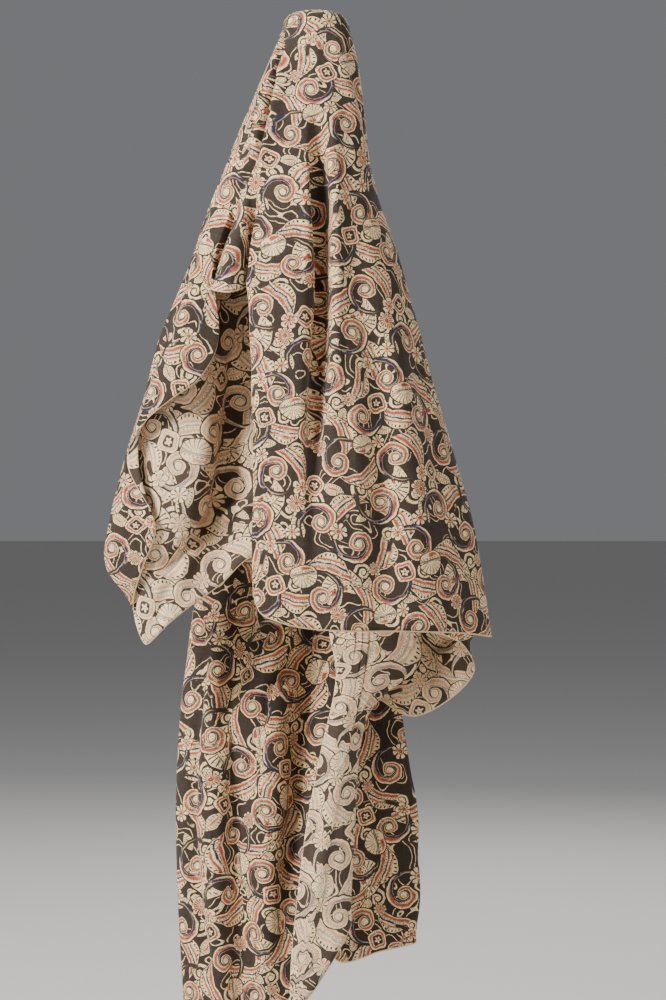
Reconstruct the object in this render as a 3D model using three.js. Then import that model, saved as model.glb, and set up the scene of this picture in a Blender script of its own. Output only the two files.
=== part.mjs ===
// A length of block-printed cotton, hung from one point inside it. It falls as a cone of deep folds with
// a free edge all round: the front hem, the slit up the left of the front panel, the tip and the two long
// tails. Millimetres, +Z up. The hang point is the origin, the front faces -Y, +X is to the right.
import * as THREE from "three";

const THICKNESS = 1.2; // the cloth, with the air that its folds hold
const ROWS = 23; // rings of points from the hang point out to the free edge
const STEPS = 2; // columns of points from one fold to the next
const FIRST_RING = 0.04; // where the first ring lies, as a share of the way down
const SHORTEST = 262; // length of the shortest fold, from the hang point to the slit

// Above the slit the folds start from smooth rings. `left` and `right` are half widths, and `half` is half
// the depth.
const RINGS = [
  { drop: 4, left: 27, right: 27, half: 23 },
  { drop: 30, left: 38, right: 37, half: 30 },
  { drop: 95, left: 66, right: 48, half: 44 },
];

// Each row is one fold line from the top down, in order round the cloth. `bearing` is its direction at the
// rings (0 front, 90 right, 180 back, 270 left). x and y are its place at each of the group's drops that
// it passes, and last where it meets the free edge, at `hem` below the top.
const FRONT_PANEL = {
  drops: [180, 256, 390, 510, 610],
  folds: [
    { fold: "slit end", bearing: -40, hem: 262, x: [-58, -53, -51], y: [-46, -42, -40] },
    { fold: "slit fold", bearing: -36, hem: 270, x: [-54, -65, -66], y: [-49, -54, -55] },
    { fold: "panel edge 1", bearing: -32, hem: 300, x: [-49, -62, -65], y: [-51, -58, -61] },
    { fold: "panel edge 2", bearing: -27, hem: 384, x: [-43, -54, -62], y: [-54, -63, -73] },
    { fold: "panel edge 3", bearing: -22, hem: 480, x: [-36, -44, -55, -60], y: [-56, -66, -80, -86] },
    {
      fold: "front corner", bearing: -17, hem: 594,
      x: [-28, -34, -44, -52, -55],
      y: [-58, -68, -85, -94, -98],
    },
    {
      fold: "left ridge", bearing: -11, hem: 605,
      x: [-18, -21, -27, -33, -37],
      y: [-59, -69, -88, -99, -104],
    },
    {
      fold: "valley left", bearing: -6, hem: 611,
      x: [-9, -9, -12, -12, -14],
      y: [-58, -67, -87, -101, -106],
    },
    { fold: "valley", bearing: 1, hem: 613, x: [3, 3, 0, -2, 2], y: [-42, -44, -70, -96, -105] },
    {
      fold: "valley right", bearing: 14, hem: 614,
      x: [17, 19, 17, 17, 21],
      y: [-56, -65, -88, -101, -106],
    },
    { fold: "mid panel", bearing: 24, hem: 615, x: [25, 27, 33, 39, 44], y: [-54, -63, -85, -98, -103] },
    { fold: "soft fold", bearing: 34, hem: 615, x: [33, 37, 55, 62, 66], y: [-48, -57, -73, -87, -96] },
    { fold: "right ridge", bearing: 46, hem: 616, x: [44, 56, 81, 97, 104], y: [-42, -51, -69, -82, -89] },
    {
      fold: "right flank", bearing: 64, hem: 619,
      x: [55, 74, 106, 131, 147],
      y: [-26, -32, -42, -50, -56],
    },
    { fold: "right side", bearing: 88, hem: 624, x: [61, 86, 122, 156, 175], y: [-6, -8, -10, -14, -18] },
  ],
};

const RIGHT_BACK = {
  drops: [180, 256, 390, 510, 610, 700, 830],
  folds: [
    { fold: "under turn", bearing: 97, hem: 622, x: [58, 80, 116, 148, 166], y: [8, 4, 2, 0, -4] },
    { fold: "tuck", bearing: 103, hem: 606, x: [50, 46, 16, -4, -6], y: [10, 4, -20, -38, -46] },
    {
      fold: "under fold", bearing: 109, hem: 631,
      x: [56, 78, 112, 138, 147, 144],
      y: [18, 22, 28, 26, 24, 22],
    },
    {
      fold: "back corner", bearing: 116, hem: 664,
      x: [54, 74, 106, 132, 143, 160],
      y: [26, 34, 44, 48, 46, 42],
    },
    {
      fold: "back flap", bearing: 124, hem: 710,
      x: [44, 58, 76, 96, 108, 100],
      y: [30, 40, 54, 62, 64, 62],
    },
    {
      fold: "inner fold", bearing: 132, hem: 686,
      x: [24, 24, 22, 16, 14, 42],
      y: [31, 40, 58, 70, 74, 76],
    },
    {
      fold: "right tail corner", bearing: 138, hem: 964,
      x: [25, 27, 26, 20, 15, 14, 18, 20],
      y: [37, 49, 69, 82, 88, 90, 88, 88],
    },
    {
      fold: "right tail", bearing: 145, hem: 957,
      x: [33, 40, 52, 60, 60, 60, 64, 66],
      y: [42, 55, 77, 91, 97, 99, 98, 98],
    },
    {
      fold: "right tail side", bearing: 152, hem: 949,
      x: [42, 58, 82, 94, 90, 86, 103, 104],
      y: [48, 62, 84, 98, 106, 108, 107, 107],
    },
    {
      fold: "back valley", bearing: 158, hem: 948,
      x: [29, 40, 54, 60, 56, 54, 64, 66],
      y: [53, 72, 94, 110, 116, 118, 118, 118],
    },
    {
      fold: "back ridge", bearing: 165, hem: 950,
      x: [14, 18, 22, 20, 14, 10, 14, 16],
      y: [61, 86, 114, 134, 140, 142, 140, 138],
    },
    {
      fold: "back pleat", bearing: 171, hem: 960,
      x: [-4, -22, -38, -50, -56, -60, -60, -58],
      y: [63, 88, 112, 132, 138, 140, 138, 136],
    },
    {
      fold: "back tuck", bearing: 176, hem: 952,
      x: [-12, 6, 18, 22, 20, 16, 14, 12],
      y: [57, 76, 98, 114, 120, 122, 121, 120],
    },
    {
      fold: "back fold", bearing: 181, hem: 985,
      x: [-22, -34, -50, -60, -66, -72, -74, -72],
      y: [56, 74, 95, 111, 116, 118, 116, 114],
    },
    {
      fold: "back left", bearing: 186, hem: 1014,
      x: [-34, -50, -74, -88, -96, -108, -112, -106],
      y: [58, 77, 98, 116, 118, 116, 112, 108],
    },
  ],
};

const LEFT_TAIL = {
  drops: [180, 256, 390, 510, 610, 655, 700, 830, 960],
  folds: [
    {
      fold: "left tail side", bearing: 191, hem: 1034,
      x: [-45, -62, -92, -114, -129, -134, -140, -145, -140, -136],
      y: [53, 66, 84, 95, 93, 91, 88, 84, 84, 84],
    },
    {
      fold: "tail crease 1", bearing: 196, hem: 1042,
      x: [-41, -56, -84, -104, -116, -121, -126, -129, -121, -114],
      y: [49, 59, 75, 84, 82, 77, 72, 67, 67, 68],
    },
    {
      fold: "tail ridge 1", bearing: 200, hem: 1046,
      x: [-34, -46, -70, -86, -94, -100, -105, -106, -98, -93],
      y: [47, 58, 71, 79, 68, 60, 55, 52, 54, 56],
    },
    {
      fold: "tail crease 2", bearing: 205, hem: 1042,
      x: [-26, -34, -53, -67, -75, -81, -86, -86, -79, -75],
      y: [46, 58, 71, 81, 77, 73, 68, 64, 66, 68],
    },
    {
      fold: "tail ridge 2", bearing: 210, hem: 1030,
      x: [-16, -20, -31, -40, -46, -48, -52, -54, -53, -52],
      y: [42, 54, 62, 64, 52, 45, 42, 46, 50, 52],
    },
    {
      fold: "tail crease 3", bearing: 215, hem: 990,
      x: [-8, -8, -6, -8, -2, -4, -8, -18, -23],
      y: [37, 46, 51, 61, 68, 68, 66, 58, 54],
    },
    {
      fold: "turned fold", bearing: 220, hem: 914,
      x: [0, 6, 44, 80, 104, 104, 54, 38, 35],
      y: [30, 34, 36, 42, 36, 32, 27, 22, 20],
    },
    {
      fold: "turned ridge", bearing: 225, hem: 952,
      x: [-6, -5, 24, 54, 80, 78, 47, 27, 16],
      y: [25, 27, 28, 33, 25, 21, 15, 10, 7],
    },
    {
      fold: "left tail corner", bearing: 229, hem: 1000,
      x: [-12, -14, 8, 33, 62, 55, 40, 14, -22],
      y: [23, 24, 25, 28, 19, 15, 11, 6, 4],
    },
  ],
};

const POCKET_WALL = {
  drops: [180, 256, 390, 510, 610, 700, 830],
  folds: [
    {
      fold: "turned edge 1", bearing: 232, hem: 838,
      x: [-17, -21, 0, 22, 53, 34, -13],
      y: [22, 23, 24, 26, 17, 10, 7],
    },
    {
      fold: "turned edge 2", bearing: 235, hem: 748,
      x: [-22, -28, -8, 12, 45, 25, 3],
      y: [21, 22, 23, 25, 15, 9, 9],
    },
    {
      fold: "turned edge 3", bearing: 238, hem: 664,
      x: [-27, -35, -16, 2, 38, 20],
      y: [20, 21, 23, 24, 14, 11],
    },
    { fold: "turned edge 4", bearing: 241, hem: 606, x: [-32, -42, -24, -10, 14], y: [19, 20, 23, 24, 15] },
    { fold: "wall tuck", bearing: 244, hem: 560, x: [-34, -38, 12, 50, 54], y: [17, 14, 4, 0, 0] },
    { fold: "edge peak", bearing: 246, hem: 540, x: [-41, -50, -38, -22, -20], y: [16, 16, 14, 10, 4] },
    { fold: "wall 1", bearing: 248, hem: 545, x: [-47, -57, -60, -60, -64], y: [16, 17, 19, 6, -4] },
    { fold: "wall 2", bearing: 250, hem: 571, x: [-53, -65, -76, -88, -93], y: [16, 17, 23, 14, -8] },
    {
      fold: "wall crease", bearing: 253, hem: 592,
      x: [-61, -74, -89, -106, -122],
      y: [15, 15, 19, 10, -12],
    },
    { fold: "wall puff", bearing: 256, hem: 612, x: [-70, -84, -106, -121, -147], y: [12, 10, 0, -8, -16] },
    { fold: "wall left", bearing: 260, hem: 627, x: [-80, -97, -133, -149, -162], y: [9, 6, -8, -14, -15] },
    { fold: "tip", bearing: 264, hem: 632, x: [-89, -109, -154, -175, -170], y: [6, 5, -2, -10, -10] },
    { fold: "tip side", bearing: 267, hem: 606, x: [-95, -118, -165, -193, -181], y: [3, 4, 2, -2, -5] },
  ],
};

const LEFT_STRIP = {
  drops: [180, 256, 330, 390, 450, 510, 555],
  folds: [
    {
      fold: "left side", bearing: 270, hem: 586,
      x: [-100, -128, -157, -173, -191, -206, -210, -181],
      y: [-1, 1, 3, 5, 6, 4, 0, -9],
    },
    {
      fold: "strip edge 1", bearing: 274, hem: 554,
      x: [-99, -126, -154, -171, -190, -194, -171],
      y: [-6, -5, -4, -4, -3, -12, -20],
    },
    {
      fold: "strip edge 2", bearing: 277, hem: 514,
      x: [-98, -125, -153, -170, -187, -159],
      y: [-10, -9, -8, -9, -9, -21],
    },
    {
      fold: "strip edge 3", bearing: 280, hem: 450,
      x: [-96, -122, -151, -167, -188],
      y: [-14, -14, -13, -13, -13],
    },
    {
      fold: "strip edge 4", bearing: 283, hem: 412,
      x: [-93, -119, -145, -161, -171],
      y: [-18, -18, -18, -18, -17],
    },
    { fold: "strip edge 5", bearing: 287, hem: 389, x: [-89, -114, -136, -144], y: [-22, -22, -24, -25] },
    { fold: "strip edge 6", bearing: 291, hem: 370, x: [-84, -109, -121, -117], y: [-25, -25, -27, -28] },
    { fold: "strip edge 7", bearing: 294, hem: 338, x: [-80, -105, -98], y: [-27, -27, -28] },
    { fold: "strip edge 8", bearing: 298, hem: 302, x: [-76, -101, -97], y: [-29, -29, -27] },
    { fold: "strip crease", bearing: 302, hem: 281, x: [-72, -97, -104], y: [-32, -33, -33] },
    { fold: "lip side", bearing: 306, hem: 283, x: [-69, -91, -98], y: [-40, -48, -47] },
    { fold: "lip", bearing: 311, hem: 285, x: [-66, -80, -83], y: [-44, -58, -58] },
    { fold: "lip end", bearing: 316, hem: 276, x: [-62, -64, -64], y: [-45, -46, -46] },
  ],
};

const GROUPS = [FRONT_PANEL, RIGHT_BACK, LEFT_TAIL, POCKET_WALL, LEFT_STRIP];

// One fold line, from the hang point over the smooth rings and on down to the free edge.
function foldLine({ bearing, hem, x, y }, drops) {
  const turn = THREE.MathUtils.degToRad(bearing);
  const across = Math.sin(turn);
  const points = [new THREE.Vector3(0, 0, 0)];
  for (const ring of RINGS) {
    const half = across < 0 ? ring.left : ring.right;
    points.push(new THREE.Vector3(half * across, -ring.half * Math.cos(turn), -ring.drop));
  }
  x.forEach((place, i) => {
    const drop = i === x.length - 1 ? hem : drops[i];
    points.push(new THREE.Vector3(place, y[i], -drop));
  });
  return new THREE.CatmullRomCurve3(points, false, "centripetal");
}

// A point at a share of the way down. Near the top all lines keep the pace of the shortest.
function pointDown(line, share) {
  const length = line.getLength();
  const held = (length - SHORTEST) * share * (1 - share) ** 3;
  return line.getPointAt(Math.min(1, (length * share - held) / length));
}

// The points of the sheet's middle surface, ring by ring. A ring is a smooth closed line through its folds.
function sheetRings() {
  const lines = GROUPS.flatMap(({ drops, folds }) => folds.map((row) => foldLine(row, drops)));
  const rings = [];
  for (let row = 0; row < ROWS; row++) {
    const share = FIRST_RING + (1 - FIRST_RING) * (row / (ROWS - 1));
    const ring = new THREE.CatmullRomCurve3(
      lines.map((line) => pointDown(line, share)),
      true,
      "centripetal",
    );
    const count = lines.length * STEPS;
    rings.push(Array.from({ length: count }, (_, i) => ring.getPoint(i / count)));
  }
  return rings;
}

// The sheet as one closed skin: an outer and an inner face, half a thickness each side, joined at the edge.
function clothGeometry() {
  const rings = sheetRings();
  const around = rings[0].length;
  const middle = [new THREE.Vector3(0, 0, 0), ...rings.flat()];
  const at = (row, i) => 1 + row * around + (i % around);
  const faces = [];
  for (let i = 0; i < around; i++) faces.push([0, at(0, i), at(0, i + 1)]);
  for (let row = 0; row + 1 < ROWS; row++)
    for (let i = 0; i < around; i++) {
      const [a, b, c, d] = [at(row, i), at(row, i + 1), at(row + 1, i + 1), at(row + 1, i)];
      faces.push([a, d, c], [a, c, b]);
    }

  const skin = new THREE.BufferGeometry().setFromPoints(middle);
  skin.setIndex(faces.flat());
  skin.computeVertexNormals();
  const normals = skin.getAttribute("normal");
  const outer = middle.map((p, i) =>
    new THREE.Vector3().fromBufferAttribute(normals, i).multiplyScalar(THICKNESS / 2).add(p),
  );
  const inner = middle.map((p, i) => p.clone().multiplyScalar(2).sub(outer[i]));

  const back = middle.length;
  const closed = [...faces, ...faces.map(([a, b, c]) => [a + back, c + back, b + back])];
  for (let i = 0; i < around; i++) {
    const [a, b] = [at(ROWS - 1, i), at(ROWS - 1, i + 1)];
    closed.push([a, a + back, b + back], [a, b + back, b]);
  }
  const geometry = new THREE.BufferGeometry().setFromPoints([...outer, ...inner]);
  geometry.setIndex(closed.flat());
  geometry.computeVertexNormals();
  return geometry;
}

const part = new THREE.Group();
const cotton = new THREE.MeshStandardMaterial({ color: 0xcdb89a, side: THREE.DoubleSide });
const cloth = new THREE.Mesh(clothGeometry(), cotton);
cloth.name = "cloth";
part.add(cloth);

export default part;
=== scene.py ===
# A length of block-printed cotton, hung from one point inside it, dressed over its plain frame.
# Metres, +Z up. The hang point is the origin, the front faces -Y, +X is to the right.
import math

import bmesh
import bpy
import numpy as np
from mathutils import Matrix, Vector, noise


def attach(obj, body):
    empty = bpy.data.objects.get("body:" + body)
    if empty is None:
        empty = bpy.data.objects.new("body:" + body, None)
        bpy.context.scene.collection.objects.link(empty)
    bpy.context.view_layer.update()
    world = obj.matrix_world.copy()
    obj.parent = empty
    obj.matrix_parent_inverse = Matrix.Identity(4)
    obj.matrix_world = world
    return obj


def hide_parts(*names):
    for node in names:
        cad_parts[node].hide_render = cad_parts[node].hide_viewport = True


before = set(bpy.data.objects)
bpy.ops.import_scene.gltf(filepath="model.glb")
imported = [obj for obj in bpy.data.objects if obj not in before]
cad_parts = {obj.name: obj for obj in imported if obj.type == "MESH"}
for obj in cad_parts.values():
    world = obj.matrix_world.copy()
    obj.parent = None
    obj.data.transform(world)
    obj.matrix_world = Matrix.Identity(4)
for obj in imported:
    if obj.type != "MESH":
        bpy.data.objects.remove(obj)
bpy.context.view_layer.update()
MM = 0.001

# The studio: a plain pale floor below the cloth, one broad soft light from the front left, a weaker one from
# the right and a dim even sky. The camera looks straight ahead, from where the photographer stood.
CAMERA_AWAY = 2.6
CAMERA_RIGHT = 0.017
CAMERA_DROP = 0.488
SIGHT_HEIGHT = 1.0  # what the upright frame takes in, top to bottom, at the cloth
SENSOR = 36.0

lens = bpy.data.cameras.new("camera")
lens.sensor_width = SENSOR
lens.lens = SENSOR * CAMERA_AWAY / SIGHT_HEIGHT
camera = bpy.data.objects.new("camera", lens)
camera.location = (CAMERA_RIGHT, -CAMERA_AWAY, -CAMERA_DROP)
camera.rotation_euler = (math.radians(90), 0, 0)
bpy.context.scene.collection.objects.link(camera)
bpy.context.scene.camera = camera

FLOOR_DROP = 1.16
FLOOR_HALF = 40.0
floor_shape = bmesh.new()
bmesh.ops.create_grid(floor_shape, x_segments=1, y_segments=1, size=FLOOR_HALF)
bmesh.ops.translate(floor_shape, verts=floor_shape.verts, vec=(0, 0, -FLOOR_DROP))
floor_mesh = bpy.data.meshes.new("floor")
floor_shape.to_mesh(floor_mesh)
floor_shape.free()
floor = bpy.data.objects.new("floor", floor_mesh)
bpy.context.scene.collection.objects.link(floor)
floor_paint = bpy.data.materials.new("floor_paint")
floor_paint.use_nodes = True
floor_paint.node_tree.nodes["Principled BSDF"].inputs["Base Color"].default_value = (0.66, 0.64, 0.62, 1)
floor_paint.node_tree.nodes["Principled BSDF"].inputs["Roughness"].default_value = 0.9
floor_mesh.materials.append(floor_paint)


def soft_light(name, place, aim, size, power):
    """A square lamp with soft shadows, turned to the aim."""
    lamp = bpy.data.lights.new(name, "AREA")
    lamp.size = size
    lamp.energy = power
    holder = bpy.data.objects.new(name, lamp)
    holder.location = place
    holder.rotation_euler = (Vector(aim) - Vector(place)).to_track_quat("-Z", "Y").to_euler()
    bpy.context.scene.collection.objects.link(holder)


CLOTH_MIDDLE = (0, 0, -0.5)
soft_light("key", (-2.1, -1.5, 1.1), CLOTH_MIDDLE, 0.9, 185)
soft_light("fill", (1.7, -1.7, 1.3), CLOTH_MIDDLE, 1.2, 38)
soft_light("rear", (0.6, 2.2, 0.9), CLOTH_MIDDLE, 1.5, 32)
sky = bpy.data.worlds.new("sky")
sky.use_nodes = True
sky.node_tree.nodes["Background"].inputs["Color"].default_value = (0.93, 0.95, 1.0, 1)
sky.node_tree.nodes["Background"].inputs["Strength"].default_value = 0.19
bpy.context.scene.world = sky

# The cloth is one rectangle, picked up at a point inside it, so every thread of it falls away from there in
# deep folds. Each row below is one fold line from the hang point down to the free edge, in order round the
# cloth, in millimetres: the smooth rings above the slit first, then the folds.
RINGS = [
    {"drop": 4, "left": 27, "right": 27, "half": 23},
    {"drop": 30, "left": 38, "right": 37, "half": 30},
    {"drop": 95, "left": 66, "right": 48, "half": 44},
]
FRONT_PANEL = {
    "drops": [180, 256, 390, 510, 610],
    "folds": [
        {"fold": "slit end", "bearing": -40, "hem": 262, "x": [-58, -53, -51], "y": [-46, -42, -40]},
        {"fold": "slit fold", "bearing": -36, "hem": 270, "x": [-54, -65, -66], "y": [-49, -54, -55]},
        {"fold": "panel edge 1", "bearing": -32, "hem": 300, "x": [-49, -62, -65], "y": [-51, -58, -61]},
        {"fold": "panel edge 2", "bearing": -27, "hem": 384, "x": [-43, -54, -62], "y": [-54, -63, -73]},
        {"fold": "panel edge 3", "bearing": -22, "hem": 480,
         "x": [-36, -44, -55, -60],
         "y": [-56, -66, -80, -86]},
        {"fold": "front corner", "bearing": -17, "hem": 594,
         "x": [-28, -34, -44, -52, -55],
         "y": [-58, -68, -85, -94, -98]},
        {"fold": "left ridge", "bearing": -11, "hem": 605,
         "x": [-18, -21, -27, -33, -37],
         "y": [-59, -69, -88, -99, -104]},
        {"fold": "valley left", "bearing": -6, "hem": 611,
         "x": [-9, -9, -12, -12, -14],
         "y": [-58, -67, -87, -101, -106]},
        {"fold": "valley", "bearing": 1, "hem": 613, "x": [3, 3, 0, -2, 2], "y": [-42, -44, -70, -96, -105]},
        {"fold": "valley right", "bearing": 14, "hem": 614,
         "x": [17, 19, 17, 17, 21],
         "y": [-56, -65, -88, -101, -106]},
        {"fold": "mid panel", "bearing": 24, "hem": 615,
         "x": [25, 27, 33, 39, 44],
         "y": [-54, -63, -85, -98, -103]},
        {"fold": "soft fold", "bearing": 34, "hem": 615,
         "x": [33, 37, 55, 62, 66],
         "y": [-48, -57, -73, -87, -96]},
        {"fold": "right ridge", "bearing": 46, "hem": 616,
         "x": [44, 56, 81, 97, 104],
         "y": [-42, -51, -69, -82, -89]},
        {"fold": "right flank", "bearing": 64, "hem": 619,
         "x": [55, 74, 106, 131, 147],
         "y": [-26, -32, -42, -50, -56]},
        {"fold": "right side", "bearing": 88, "hem": 624,
         "x": [61, 86, 122, 156, 175],
         "y": [-6, -8, -10, -14, -18]},
    ],
}
RIGHT_BACK = {
    "drops": [180, 256, 390, 510, 610, 700, 830],
    "folds": [
        {"fold": "under turn", "bearing": 97, "hem": 622,
         "x": [58, 80, 116, 148, 166],
         "y": [8, 4, 2, 0, -4]},
        {"fold": "tuck", "bearing": 103, "hem": 606, "x": [50, 46, 16, -4, -6], "y": [10, 4, -20, -38, -46]},
        {"fold": "under fold", "bearing": 109, "hem": 631,
         "x": [56, 78, 112, 138, 147, 144],
         "y": [18, 22, 28, 26, 24, 22]},
        {"fold": "back corner", "bearing": 116, "hem": 664,
         "x": [54, 74, 106, 132, 143, 160],
         "y": [26, 34, 44, 48, 46, 42]},
        {"fold": "back flap", "bearing": 124, "hem": 710,
         "x": [44, 58, 76, 96, 108, 100],
         "y": [30, 40, 54, 62, 64, 62]},
        {"fold": "inner fold", "bearing": 132, "hem": 686,
         "x": [24, 24, 22, 16, 14, 42],
         "y": [31, 40, 58, 70, 74, 76]},
        {"fold": "right tail corner", "bearing": 138, "hem": 964,
         "x": [25, 27, 26, 20, 15, 14, 18, 20],
         "y": [37, 49, 69, 82, 88, 90, 88, 88]},
        {"fold": "right tail", "bearing": 145, "hem": 957,
         "x": [33, 40, 52, 60, 60, 60, 64, 66],
         "y": [42, 55, 77, 91, 97, 99, 98, 98]},
        {"fold": "right tail side", "bearing": 152, "hem": 949,
         "x": [42, 58, 82, 94, 90, 86, 103, 104],
         "y": [48, 62, 84, 98, 106, 108, 107, 107]},
        {"fold": "back valley", "bearing": 158, "hem": 948,
         "x": [29, 40, 54, 60, 56, 54, 64, 66],
         "y": [53, 72, 94, 110, 116, 118, 118, 118]},
        {"fold": "back ridge", "bearing": 165, "hem": 950,
         "x": [14, 18, 22, 20, 14, 10, 14, 16],
         "y": [61, 86, 114, 134, 140, 142, 140, 138]},
        {"fold": "back pleat", "bearing": 171, "hem": 960,
         "x": [-4, -22, -38, -50, -56, -60, -60, -58],
         "y": [63, 88, 112, 132, 138, 140, 138, 136]},
        {"fold": "back tuck", "bearing": 176, "hem": 952,
         "x": [-12, 6, 18, 22, 20, 16, 14, 12],
         "y": [57, 76, 98, 114, 120, 122, 121, 120]},
        {"fold": "back fold", "bearing": 181, "hem": 985,
         "x": [-22, -34, -50, -60, -66, -72, -74, -72],
         "y": [56, 74, 95, 111, 116, 118, 116, 114]},
        {"fold": "back left", "bearing": 186, "hem": 1014,
         "x": [-34, -50, -74, -88, -96, -108, -112, -106],
         "y": [58, 77, 98, 116, 118, 116, 112, 108]},
    ],
}
LEFT_TAIL = {
    "drops": [180, 256, 390, 510, 610, 655, 700, 830, 960],
    "folds": [
        {"fold": "left tail side", "bearing": 191, "hem": 1034,
         "x": [-45, -62, -92, -114, -129, -134, -140, -145, -140, -136],
         "y": [53, 66, 84, 95, 93, 91, 88, 84, 84, 84]},
        {"fold": "tail crease 1", "bearing": 196, "hem": 1042,
         "x": [-41, -56, -84, -104, -116, -121, -126, -129, -121, -114],
         "y": [49, 59, 75, 84, 82, 77, 72, 67, 67, 68]},
        {"fold": "tail ridge 1", "bearing": 200, "hem": 1046,
         "x": [-34, -46, -70, -86, -94, -100, -105, -106, -98, -93],
         "y": [47, 58, 71, 79, 68, 60, 55, 52, 54, 56]},
        {"fold": "tail crease 2", "bearing": 205, "hem": 1042,
         "x": [-26, -34, -53, -67, -75, -81, -86, -86, -79, -75],
         "y": [46, 58, 71, 81, 77, 73, 68, 64, 66, 68]},
        {"fold": "tail ridge 2", "bearing": 210, "hem": 1030,
         "x": [-16, -20, -31, -40, -46, -48, -52, -54, -53, -52],
         "y": [42, 54, 62, 64, 52, 45, 42, 46, 50, 52]},
        {"fold": "tail crease 3", "bearing": 215, "hem": 990,
         "x": [-8, -8, -6, -8, -2, -4, -8, -18, -23],
         "y": [37, 46, 51, 61, 68, 68, 66, 58, 54]},
        {"fold": "turned fold", "bearing": 220, "hem": 914,
         "x": [0, 6, 44, 80, 104, 104, 54, 38, 35],
         "y": [30, 34, 36, 42, 36, 32, 27, 22, 20]},
        {"fold": "turned ridge", "bearing": 225, "hem": 952,
         "x": [-6, -5, 24, 54, 80, 78, 47, 27, 16],
         "y": [25, 27, 28, 33, 25, 21, 15, 10, 7]},
        {"fold": "left tail corner", "bearing": 229, "hem": 1000,
         "x": [-12, -14, 8, 33, 62, 55, 40, 14, -22],
         "y": [23, 24, 25, 28, 19, 15, 11, 6, 4]},
    ],
}
POCKET_WALL = {
    "drops": [180, 256, 390, 510, 610, 700, 830],
    "folds": [
        {"fold": "turned edge 1", "bearing": 232, "hem": 838,
         "x": [-17, -21, 0, 22, 53, 34, -13],
         "y": [22, 23, 24, 26, 17, 10, 7]},
        {"fold": "turned edge 2", "bearing": 235, "hem": 748,
         "x": [-22, -28, -8, 12, 45, 25, 3],
         "y": [21, 22, 23, 25, 15, 9, 9]},
        {"fold": "turned edge 3", "bearing": 238, "hem": 664,
         "x": [-27, -35, -16, 2, 38, 20],
         "y": [20, 21, 23, 24, 14, 11]},
        {"fold": "turned edge 4", "bearing": 241, "hem": 606,
         "x": [-32, -42, -24, -10, 14],
         "y": [19, 20, 23, 24, 15]},
        {"fold": "wall tuck", "bearing": 244, "hem": 560,
         "x": [-34, -38, 12, 50, 54],
         "y": [17, 14, 4, 0, 0]},
        {"fold": "edge peak", "bearing": 246, "hem": 540,
         "x": [-41, -50, -38, -22, -20],
         "y": [16, 16, 14, 10, 4]},
        {"fold": "wall 1", "bearing": 248, "hem": 545,
         "x": [-47, -57, -60, -60, -64],
         "y": [16, 17, 19, 6, -4]},
        {"fold": "wall 2", "bearing": 250, "hem": 571,
         "x": [-53, -65, -76, -88, -93],
         "y": [16, 17, 23, 14, -8]},
        {"fold": "wall crease", "bearing": 253, "hem": 592,
         "x": [-61, -74, -89, -106, -122],
         "y": [15, 15, 19, 10, -12]},
        {"fold": "wall puff", "bearing": 256, "hem": 612,
         "x": [-70, -84, -106, -121, -147],
         "y": [12, 10, 0, -8, -16]},
        {"fold": "wall left", "bearing": 260, "hem": 627,
         "x": [-80, -97, -133, -149, -162],
         "y": [9, 6, -8, -14, -15]},
        {"fold": "tip", "bearing": 264, "hem": 632,
         "x": [-89, -109, -154, -175, -170],
         "y": [6, 5, -2, -10, -10]},
        {"fold": "tip side", "bearing": 267, "hem": 606,
         "x": [-95, -118, -165, -193, -181],
         "y": [3, 4, 2, -2, -5]},
    ],
}
LEFT_STRIP = {
    "drops": [180, 256, 330, 390, 450, 510, 555],
    "folds": [
        {"fold": "left side", "bearing": 270, "hem": 586,
         "x": [-100, -128, -157, -173, -191, -206, -210, -181],
         "y": [-1, 1, 3, 5, 6, 4, 0, -9]},
        {"fold": "strip edge 1", "bearing": 274, "hem": 554,
         "x": [-99, -126, -154, -171, -190, -194, -171],
         "y": [-6, -5, -4, -4, -3, -12, -20]},
        {"fold": "strip edge 2", "bearing": 277, "hem": 514,
         "x": [-98, -125, -153, -170, -187, -159],
         "y": [-10, -9, -8, -9, -9, -21]},
        {"fold": "strip edge 3", "bearing": 280, "hem": 450,
         "x": [-96, -122, -151, -167, -188],
         "y": [-14, -14, -13, -13, -13]},
        {"fold": "strip edge 4", "bearing": 283, "hem": 412,
         "x": [-93, -119, -145, -161, -171],
         "y": [-18, -18, -18, -18, -17]},
        {"fold": "strip edge 5", "bearing": 287, "hem": 389,
         "x": [-89, -114, -136, -144],
         "y": [-22, -22, -24, -25]},
        {"fold": "strip edge 6", "bearing": 291, "hem": 370,
         "x": [-84, -109, -121, -117],
         "y": [-25, -25, -27, -28]},
        {"fold": "strip edge 7", "bearing": 294, "hem": 338, "x": [-80, -105, -98], "y": [-27, -27, -28]},
        {"fold": "strip edge 8", "bearing": 298, "hem": 302, "x": [-76, -101, -97], "y": [-29, -29, -27]},
        {"fold": "strip crease", "bearing": 302, "hem": 281, "x": [-72, -97, -104], "y": [-32, -33, -33]},
        {"fold": "lip side", "bearing": 306, "hem": 283, "x": [-69, -91, -98], "y": [-40, -48, -47]},
        {"fold": "lip", "bearing": 311, "hem": 285, "x": [-66, -80, -83], "y": [-44, -58, -58]},
        {"fold": "lip end", "bearing": 316, "hem": 276, "x": [-62, -64, -64], "y": [-45, -46, -46]},
    ],
}
FOLDS = [
    {**fold, "drops": group["drops"]}
    for group in (FRONT_PANEL, RIGHT_BACK, LEFT_TAIL, POCKET_WALL, LEFT_STRIP)
    for fold in group["folds"]
]
NAMES = [fold["fold"] for fold in FOLDS]
SHORTEST = 262  # the shortest fold line, from the hang point to the slit
FIRST_RING = 0.004  # where the ring nearest the hang point lies, as a share of the way down
COLUMNS = 8  # columns of the finished net from one fold to the next
ROWS = 94


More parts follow.
